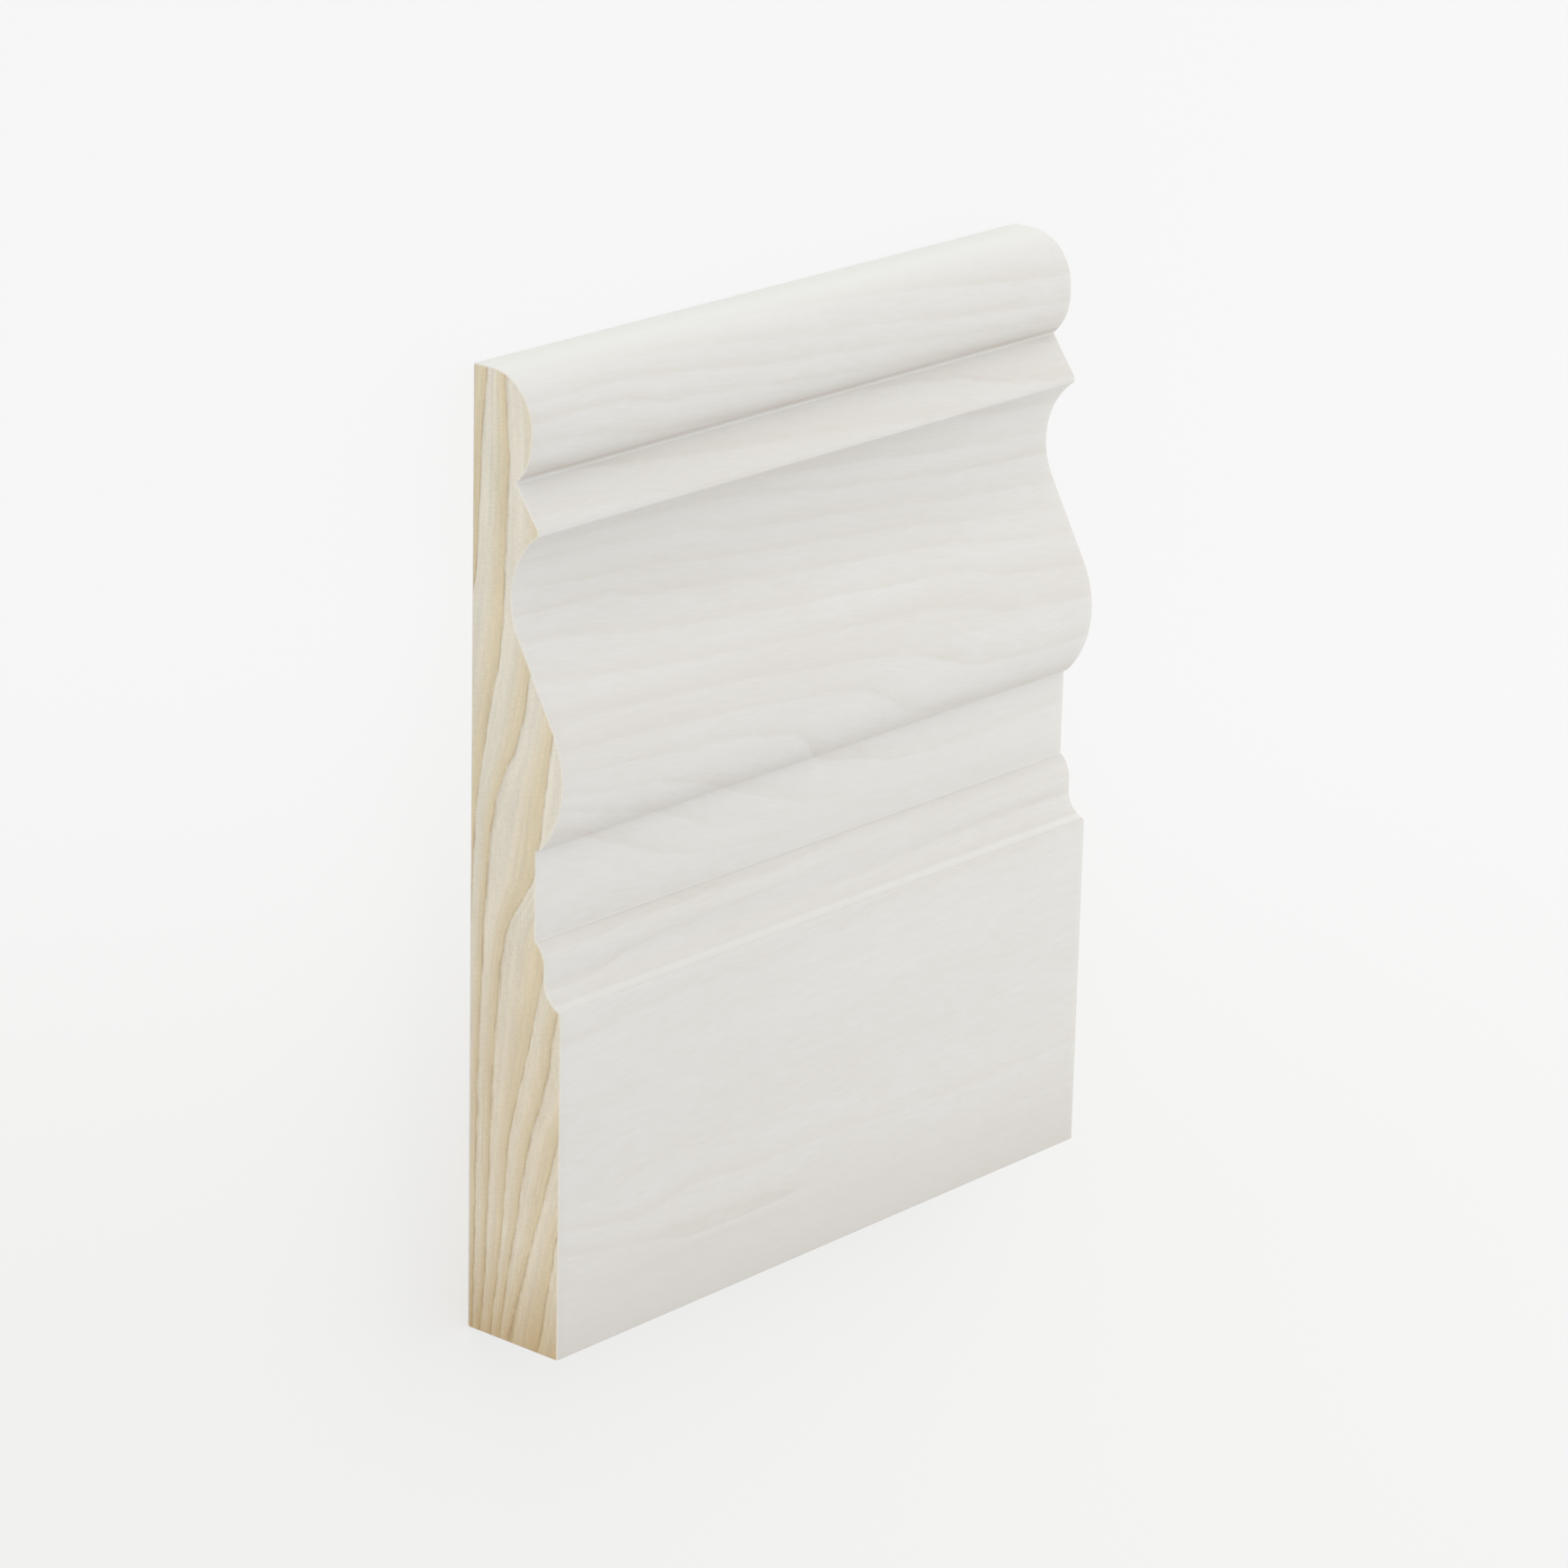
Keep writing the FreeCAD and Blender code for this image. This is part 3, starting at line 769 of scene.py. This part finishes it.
def limedPine():
    # Planed softwood under a thin matt white stain: nearly white, with the harder latewood of each
    # growth line showing as a faint warm streak that ends more sharply, and fine fibres along the grain
    material, tree = newMaterial("matt white stain on planed pine")
    s = limed
    along, height = addNode(tree, "SeparateXYZ", [millimetres(tree)]).outputs[:2]
    names = ("faceCount", "faceWidth", "faceStrength", "faceFibre", "upward", *faceCorners)
    read = {name: addNode(tree, "Attribute", attribute_name=name).outputs["Fac"] for name in names}
    count, width, strength = read["faceCount"], read["faceWidth"], read["faceStrength"]
    fibre, upward = read["faceFibre"], read["upward"]

    def grainNoise(length, breadth, detail, seed):
        # Noise stretched along the grain, counted in real millimetres
        x = addNode(tree, "Math", [along, 1 / length], operation="MULTIPLY")
        y = addNode(tree, "Math", [fibre, 1 / breadth], operation="MULTIPLY")
        joined = addNode(tree, "CombineXYZ", [x, y, seed])
        links = {"Vector": joined, "Scale": 1.0, "Detail": detail, "Roughness": 0.6}
        return addNode(tree, "TexNoise", links)

    def aboveCorner(corner, amount):
        # Painted shade fading in slowly down towards an inward corner, and ending just above it
        start, full, last, end = s["paintedShadeReach"]
        rising = addNode(tree, "MapRange", [read[corner], start, full, 0, 1])
        rising = addNode(tree, "Math", [rising, s["paintedShadePower"]], operation="POWER")
        ending = addNode(tree, "MapRange", [read[corner], last, end, amount, 0])
        return addNode(tree, "Math", [rising, ending], operation="MULTIPLY")

    def alongCorner(corner, above, reach, amount):
        # Full at a distance above a corner, and gone at reach, in mm, to either side
        away = addNode(tree, "Math", [read[corner], above], operation="ADD")
        away = addNode(tree, "Math", [away], operation="ABSOLUTE")
        faded = [away, reach * s["placeCore"], reach, 1, 0]
        share = addNode(tree, "MapRange", faded, interpolation_type="SMOOTHSTEP")
        return addNode(tree, "Math", [share, amount], operation="MULTIPLY")

    length, breadth, far = s["sway"]
    sway = spread(tree, grainNoise(length, breadth, 3, 3.1), -far, far)
    share, passed, ahead = betweenLines(tree, count, width, sway)[1:]
    portion, least, most = s["lineFade"]
    fade = addNode(tree, "Math", [width, portion], operation="MULTIPLY")
    fade = addNode(tree, "Clamp", [fade, least, most])
    near = addNode(tree, "Math", [ahead, fade], operation="DIVIDE")
    near = addNode(tree, "MapRange", [near, 0, 1, 1, 0])
    gather = addNode(tree, "Math", [near, s["linePower"]], operation="POWER")
    ending = [passed, 0, s["lineEdge"], 1, 0]
    edge = addNode(tree, "MapRange", ending, interpolation_type="SMOOTHSTEP")
    line = addNode(tree, "Math", [gather, edge], operation="MAXIMUM")
    line = addNode(tree, "Math", [line, strength], operation="MULTIPLY")
    line = addNode(tree, "Math", [line, s["lineMost"]], operation="MINIMUM")
    patchy = grainNoise(*s["patches"], 3, 8.7)
    patchy = addNode(tree, "MapRange", [patchy, *s["patchNoise"], *s["showPatches"]])
    line = addNode(tree, "Math", [line, patchy], operation="MULTIPLY")
    early = addNode(tree, "MapRange", [share, *s["paleFade"], s["showPale"], 0])
    limited = addNode(tree, "Math", [strength, s["lineMost"]], operation="MINIMUM")
    early = addNode(tree, "Math", [early, limited], operation="MULTIPLY")

    fine = grainNoise(*s["fibre"][:2], 4, 0.0)
    stain = addNode(tree, "Math", [line, s["showLine"]], operation="MULTIPLY")
    streaks = grainNoise(*s["streak"][:2], 3, 11.0)
    mottling = grainNoise(*s["mottle"][:2], 2, 5.5)
    for noise, name in ((fine, "fibre"), (streaks, "streak"), (mottling, "mottle")):
        stain = addNode(tree, "Math", [stain, spread(tree, noise, 0, s[name][2])], operation="ADD")

    # Painted shade where the face looks down, on the ovolo and cove, on the lower plinth and by the
    # corners
    level = addNode(tree, "Math", [upward, 0], operation="MAXIMUM")
    ledge = fadedByHeight(tree, height, s["ledgeReach"], s["showLedge"], 0)
    ledge = addNode(tree, "Math", [level, ledge], operation="MULTIPLY")
    under = addNode(tree, "MapRange", [upward, 0, -1, 0, s["showUnder"]])
    thinParts = [under, ledge]
    thinParts += [aboveCorner(*spot) for spot in s["paintedShadeAbove"]]
    thinParts += [alongCorner(*spot) for spot in s["paintedShadePlaces"]]
    paintedShade = fadedByHeight(tree, height, s["lowReach"], 0, s["showLow"])
    for part in thinParts:
        paintedShade = addNode(tree, "Math", [paintedShade, part], operation="ADD")

    # Painted light on what faces up high on the face, and painted highlights at the places listed
    paintedLight = addNode(tree, "Math", [level, s["paintedLightPower"]], operation="POWER")
    above = fadedByHeight(tree, height, s["paintedLightReach"], 0, 1)
    paintedLight = addNode(tree, "Math", [paintedLight, above], operation="MULTIPLY")
    nearEnd, farEnd = s["showPlinth"]
    growing = addNode(tree, "MapRange", [along, -halfLength, halfLength, nearEnd, farEnd])
    for spot in (("pastPlinth", *s["plinthPlace"], growing), *s["paintedLightPlaces"]):
        paintedLight = addNode(tree, "Math", [paintedLight, alongCorner(*spot)], operation="MAXIMUM")

    colour = linear(s["white"])
    for amount, name in ((early, "pale"), (stain, "line"), (paintedShade, "paintedShade"), (paintedLight, "top")):
        colour = addNode(tree, "Mix", {0: amount, 6: colour, 7: linear(s[name])}, data_type="RGBA")
    colour = darkerFoot(tree, height, colour, s)
    fineBump = {"Strength": 1.0, "Distance": s["fibreDepth"] * mm, "Height": fine}
    lineBump = {"Strength": 1.0, "Distance": s["lineHeight"] * mm, "Height": line}
    shader = addNode(tree, "BsdfPrincipled", {
        "Base Color": colour,
        "Roughness": spread(tree, fine, *s["roughness"]),
        "Normal": addNode(tree, "Bump", {**lineBump, "Normal": addNode(tree, "Bump", fineBump)}),
        "IOR": 1.48,
        "Specular IOR Level": 0.4,
    })
    addNode(tree, "OutputMaterial", {"Surface": shader})
    return material


sawnEnd = {
    "ring": [  # colour by the share of the ring that is passed
        (0, "D9D3C5"), (0.35, "D8D2C4"), (0.55, "D6CDB9"),
        (0.78, "D3C7AC"), (0.96, "D0C2A5"), (1, "D4CAB3"),
    ],
    "lowRing": [  # and low on the ends, darker and warmer as painted shade
        (0, "D3C8B2"), (0.30, "D4CAB6"), (0.55, "D1C4AC"),
        (0.78, "CEC0A4"), (0.96, "CDBDA0"), (1, "CEC0A4"),
    ],
    "lowReach": (140.0, 50.0),  # mm above the bottom edge between which the one gives way to the other
    "edge": "A68F6C",  # last cells of the latewood
    "edgeFade": 0.60,  # mm
    "edgeEnd": 0.45,  # mm
    "showEdge": 0.55,
    "patches": (20, 7, 1.5),  # it comes and goes: mm along, up and through for a patch
    "patchNoise": (0.35, 0.6),  # noise at which a patch is weakest and strongest
    "showPatches": (0.3, 1),  # share left there
    "sway": ((30, 6, 2.5), 0.20),  # rings waver: mm along, up and through for a wave, and how far in mm
    "fleck": "DAD6CD",  # soft pale flecks up and down the early part of each ring
    "fleckSize": (8, 5, 0.9),  # mm along, up and through
    "fleckNoise": (0.48, 0.68),  # noise at which one starts and is full
    "fleckFade": (0.1, 0.8),  # shares of the ring between which they go
    "showFleck": 0.36,
    "fine": ((1.5, 0.26, 1.8), 3),  # short rays across the rings: mm along, up and through, and detail
    "showFine": 0.065,
    "stripes": 7,  # fine stripes within each ring
    "stripeDrift": (0.02, 0.03, 0.0),  # how fast they change along, up and through, for each mm
    "showStripe": 0.055,
    "streaks": [((30, 9.0, 0.34), 0.035)],  # mm along, up and through, and how much shows
    "mottle": ((40, 14, 5), 0.02),  # and broad and soft
    "arris": "DDDAD3",  # rubbed edge of the sawn ends, where the stain laps over, painted a little lighter as a highlight
    "showArris": 0.75,
    "foot": "E4D7C2",  # painted shade: the bottom of the ends is darker and warmer, by this factor
    "footReach": 24.0,  # mm
    "footPower": 1.2,
    "sawCentre": (90, 150),  # mm that the blade's centre lies behind the back and below the middle
    "markPitch": 1.3,  # mm between saw marks
    "markDepth": 0.004,  # mm
    "fineDepth": 0.02,  # mm
    "roughness": 0.72,
}

planedBack = {
    **sawnEnd,
    "ring": [(0, "DACFB8"), (0.4, "D9CDB3"), (0.7, "D7CAAD"), (0.93, "D1C09E"), (1, "D6CAAE")],
    "edge": "B79C74",
    "edgeFade": 0.16,  # mm through the ring
    "edgeEnd": 0.03,  # mm
    "showEdge": 0.50,
    "sway": ((70, 7, 2.5), 0.035),  # the back cuts the rings at a low angle
    "fine": ((18, 0.35, 0.35), 4),  # long fibres
    "streaks": [((130, 2.6, 20), 0.028), ((50, 0.9, 20), 0.022)],
    "minor": 6,  # fainter lines within each ring, which the low angle spreads out
    "minorPower": 3.0,  # how steeply each gathers
    "showMinor": 0.075,
    "canal": "A98A5C",  # fine resin canals along the grain
    "canalSize": (5, 0.30, 0.30),  # mm along, up and through
    "canalNoise": (0.70, 0.76),  # noise at which one starts and is full
    "showCanal": 0.4,
    "markPitch": 2.0,  # mm between planer marks
}


def barePine(name, s):
    # Bare softwood, creamy earlywood turning to tan latewood that ends in a thin darker line at each
    # ring: on the ends with short rays across the rings and faint saw marks, on the back with long fibres
    material, tree = newMaterial(name)
    onEnd = s is sawnEnd
    position = millimetres(tree)
    along, height, depth = addNode(tree, "SeparateXYZ", [position]).outputs
    count = addNode(tree, "Attribute", attribute_name="ringCount").outputs["Fac"]
    width = addNode(tree, "Attribute", attribute_name="ringWidth").outputs["Fac"]

    def stretchedNoise(size, detail, seed):
        # Noise stretched by a length in millimetres along each axis
        scaled = addNode(tree, "VectorMath", [position, [1 / v for v in size]], operation="MULTIPLY")
        moved = addNode(tree, "VectorMath", [scaled, (seed, seed * 2.3, seed * 0.7)], operation="ADD")
        links = {"Vector": moved, "Scale": 1.0, "Detail": detail, "Roughness": 0.6}
        return addNode(tree, "TexNoise", links)

    def evenly(noise, most):
        return spread(tree, noise, -most, most)

    size, far = s["sway"]
    sway = evenly(stretchedNoise(size, 3, 1.7), far)
    swayed, share, passed, ahead = betweenLines(tree, count, width, sway)
    colour = addNode(tree, "ValToRGB", [share], stops=s["ring"])
    if onEnd:
        # Painted shade: darker, warmer rings low on the ends
        lowColour = addNode(tree, "ValToRGB", [share], stops=s["lowRing"])
        down = fadedByHeight(tree, height, s["lowReach"], 0, 1, interpolation_type="SMOOTHSTEP")
        colour = addNode(tree, "Mix", {0: down, 6: colour, 7: lowColour}, data_type="RGBA")

    flecks = stretchedNoise(s["fleckSize"], 2, 12.3)
    flecks = addNode(tree, "MapRange", [flecks, *s["fleckNoise"], 0, s["showFleck"]])
    early = addNode(tree, "MapRange", [share, *s["fleckFade"], 1, 0])
    flecks = addNode(tree, "Math", [flecks, early], operation="MULTIPLY")
    colour = addNode(tree, "Mix", {0: flecks, 6: colour, 7: linear(s["fleck"])}, data_type="RGBA")

    gathering = [ahead, 0, s["edgeFade"], s["showEdge"], 0]
    before = addNode(tree, "MapRange", gathering, interpolation_type="SMOOTHSTEP")
    after = addNode(tree, "MapRange", [passed, 0, s["edgeEnd"], s["showEdge"], 0])
    edge = addNode(tree, "Math", [before, after], operation="MAXIMUM")
    patchy = stretchedNoise(s["patches"], 2, 7.7)
    patchy = addNode(tree, "MapRange", [patchy, *s["patchNoise"], *s["showPatches"]])
    edge = addNode(tree, "Math", [edge, patchy], operation="MULTIPLY")
    colour = addNode(tree, "Mix", {0: edge, 6: colour, 7: linear(s["edge"])}, data_type="RGBA")

    size, detail = s["fine"]
    fine = stretchedNoise(size, detail, 4.0)
    banded = addNode(tree, "Math", [swayed, s["stripes"]], operation="MULTIPLY")
    banded = addNode(tree, "CombineXYZ", [banded])
    drift = addNode(tree, "VectorMath", [position, s["stripeDrift"]], operation="MULTIPLY")
    banded = addNode(tree, "VectorMath", [banded, drift], operation="ADD")
    stripe = addNode(tree, "TexNoise", {"Vector": banded, "Scale": 1.0, "Detail": 2.0})
    size, most = s["mottle"]
    mottling = evenly(stretchedNoise(size, 2, 6.6), most)
    tones = [evenly(fine, s["showFine"]), evenly(stripe, s["showStripe"]), mottling]
    tones += [evenly(stretchedNoise(size, 3, 2.9), most) for size, most in s["streaks"]]
    if not onEnd:
        minor = addNode(tree, "Math", [swayed, s["minor"]], operation="MULTIPLY")
        minor = addNode(tree, "Math", [minor], operation="FRACT")
        minor = addNode(tree, "Math", [minor, s["minorPower"]], operation="POWER")
        tones.append(addNode(tree, "Math", [minor, -s["showMinor"]], operation="MULTIPLY"))
    tone = 1.0
    for part in tones:
        tone = addNode(tree, "Math", [tone, part], operation="ADD")
    colour = addNode(tree, "VectorMath", {0: colour, "Scale": tone}, operation="SCALE")

    if onEnd:
        # Painted shade towards the bottom of the ends
        colour = darkerFoot(tree, height, colour, s)
        # The stain on the rubbed arris, painted a little lighter as a highlight
        rubbed = addNode(tree, "Attribute", attribute_name="arris").outputs["Fac"]
        rubbed = addNode(tree, "Math", [rubbed, s["showArris"]], operation="MULTIPLY")
        colour = addNode(tree, "Mix", {0: rubbed, 6: colour, 7: linear(s["arris"])}, data_type="RGBA")
        # Saw marks are arcs about the blade's centre, well off the board
        behind, below = s["sawCentre"]
        x = addNode(tree, "Math", [depth, behind], operation="ADD")
        y = addNode(tree, "Math", [height, below], operation="ADD")
        spot = addNode(tree, "CombineXYZ", [x, y])
        marks = addNode(tree, "VectorMath", [spot], operation="LENGTH")
    else:
        canals = stretchedNoise(s["canalSize"], 1, 9.0)
        canals = addNode(tree, "MapRange", [canals, *s["canalNoise"], 0, s["showCanal"]])
        colour = addNode(tree, "Mix", {0: canals, 6: colour, 7: linear(s["canal"])}, data_type="RGBA")
        # Planer marks are ripples across the board
        marks = along
    marks = addNode(tree, "Math", [marks, 2 * math.pi / s["markPitch"]], operation="MULTIPLY")
    ripple = addNode(tree, "Math", [marks], operation="SINE")
    markBump = {"Strength": 0.6, "Distance": s["markDepth"] * mm, "Height": ripple}
    fineBump = {"Strength": 1.0, "Distance": s["fineDepth"] * mm, "Height": fine}
    shader = addNode(tree, "BsdfPrincipled", {
        "Base Color": colour,
        "Roughness": s["roughness"],
        "Normal": addNode(tree, "Bump", {**fineBump, "Normal": addNode(tree, "Bump", markBump)}),
        "IOR": 1.45,
        "Specular IOR Level": 0.3,
    })
    addNode(tree, "OutputMaterial", {"Surface": shader})
    return material


piece = makeBoard()
piece.data.materials.append(limedPine())
piece.data.materials.append(barePine("sawn pine end grain", sawnEnd))
piece.data.materials.append(barePine("bare planed pine", planedBack))
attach(piece, "root")
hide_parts("skirting_board")
print("materials made")


studio = {
    "floorColour": "E5E5E4",
    "seenFar": "F8F8F8",  # as the camera sees the floor beyond the top edge
    "seenNear": "F4F4F3",  # and before the bottom edge, painted darker there as shade
    "shadowFar": 0.12,  # how much of the shadow the camera sees there
    "shadowNear": 0.36,
    "fadeReach": (-0.14, 0.03),  # m between the two, along the direction below
    "fadeAlong": (0.24, 1.0, 0.0),
    "floorSize": 8.0,  # m
    "floorGap": 0.0001,  # m below the board's back
    "sky": 0.59,
    "skyAhead": (1.00, 1.05, 0.0),  # more light from +X and +Y, which is beyond the top edge
    "skyBehind": (1.00, 0.36, 0.0),  # and from -X and -Y
    "lampPlace": (0.50, -0.05, 0.45),  # m
    "lampSize": 0.6,  # m
    "lampPower": 0.85,  # W
}


def makeFloor():
    # One flat square whose corners are the product of two pairs of ends
    reach = studio["floorSize"] / 2
    x, y = np.meshgrid([-reach, reach], [-reach, reach])
    corners = np.stack([x.ravel(), y.ravel(), np.full(4, low.z - studio["floorGap"])], 1)
    mesh = bpy.data.meshes.new("floor")
    mesh.from_pydata(corners.tolist(), [], [(0, 1, 3, 2)])
    floor = bpy.data.objects.new("floor", mesh)
    bpy.context.scene.collection.objects.link(floor)
    material, tree = newMaterial("pale studio floor")
    matt = addNode(tree, "BsdfDiffuse", {"Color": linear(studio["floorColour"])})
    place = addNode(tree, "TexCoord").outputs["Object"]
    across = addNode(tree, "VectorMath", [place, studio["fadeAlong"]], operation="DOT_PRODUCT")
    near, far = studio["fadeReach"]
    rising = [across, near, far, 0, 1]
    fade = addNode(tree, "MapRange", rising, interpolation_type="SMOOTHSTEP")
    ends = {6: linear(studio["seenNear"]), 7: linear(studio["seenFar"])}
    seenColour = addNode(tree, "Mix", {0: fade, **ends}, data_type="RGBA")
    plain = addNode(tree, "Emission", {"Color": seenColour, "Strength": 1.0})
    ray = addNode(tree, "LightPath").outputs["Is Camera Ray"]
    shown = addNode(tree, "MapRange", {0: fade, 3: 1 - studio["shadowNear"], 4: 1 - studio["shadowFar"]})
    seen = addNode(tree, "Math", [ray, shown], operation="MULTIPLY")
    mixed = addNode(tree, "MixShader", [seen, matt, plain])
    addNode(tree, "OutputMaterial", {"Surface": mixed})
    mesh.materials.append(material)


def makeSky():
    # A tent of light: an even part, and more from the sides by the square of how far each direction
    # leans that way; the camera sees it plain
    world = bpy.data.worlds.new("studio")
    world.use_nodes = True
    tree = world.node_tree
    tree.nodes.clear()
    ahead = addNode(tree, "TexCoord").outputs["Generated"]
    strength = studio["sky"]
    for sign, more in ((1, studio["skyAhead"]), (-1, studio["skyBehind"])):
        facing = addNode(tree, "VectorMath", {0: ahead, "Scale": sign}, operation="SCALE")
        leaning = addNode(tree, "VectorMath", [facing, (0, 0, 0)], operation="MAXIMUM")
        square = addNode(tree, "VectorMath", [leaning, leaning], operation="MULTIPLY")
        added = addNode(tree, "VectorMath", [square, more], operation="DOT_PRODUCT")
        strength = addNode(tree, "Math", [added, strength], operation="ADD")
    light = addNode(tree, "Background", {"Color": linear("FFFFFF"), "Strength": strength})
    plain = addNode(tree, "Background", {"Color": linear(studio["seenFar"]), "Strength": 1.0})
    ray = addNode(tree, "LightPath").outputs["Is Camera Ray"]
    mixed = addNode(tree, "MixShader", [ray, light, plain])
    addNode(tree, "OutputWorld", {"Surface": mixed})
    bpy.context.scene.world = world


def makeLamp():
    # One soft lamp close by on the right, aimed at the board, so that the far end is a little brighter
    data = bpy.data.lights.new("softbox", "AREA")
    data.shape = "SQUARE"
    data.size = studio["lampSize"]
    data.energy = studio["lampPower"]
    lamp = bpy.data.objects.new("softbox", data)
    lamp.location = studio["lampPlace"]
    lamp.rotation_mode = "QUATERNION"
    lamp.rotation_quaternion = (-Vector(studio["lampPlace"])).to_track_quat("-Z", "Y")
    bpy.context.scene.collection.objects.link(lamp)


makeFloor()
makeSky()
makeLamp()
bpy.context.scene.view_settings.view_transform = "Standard"
print("studio made")
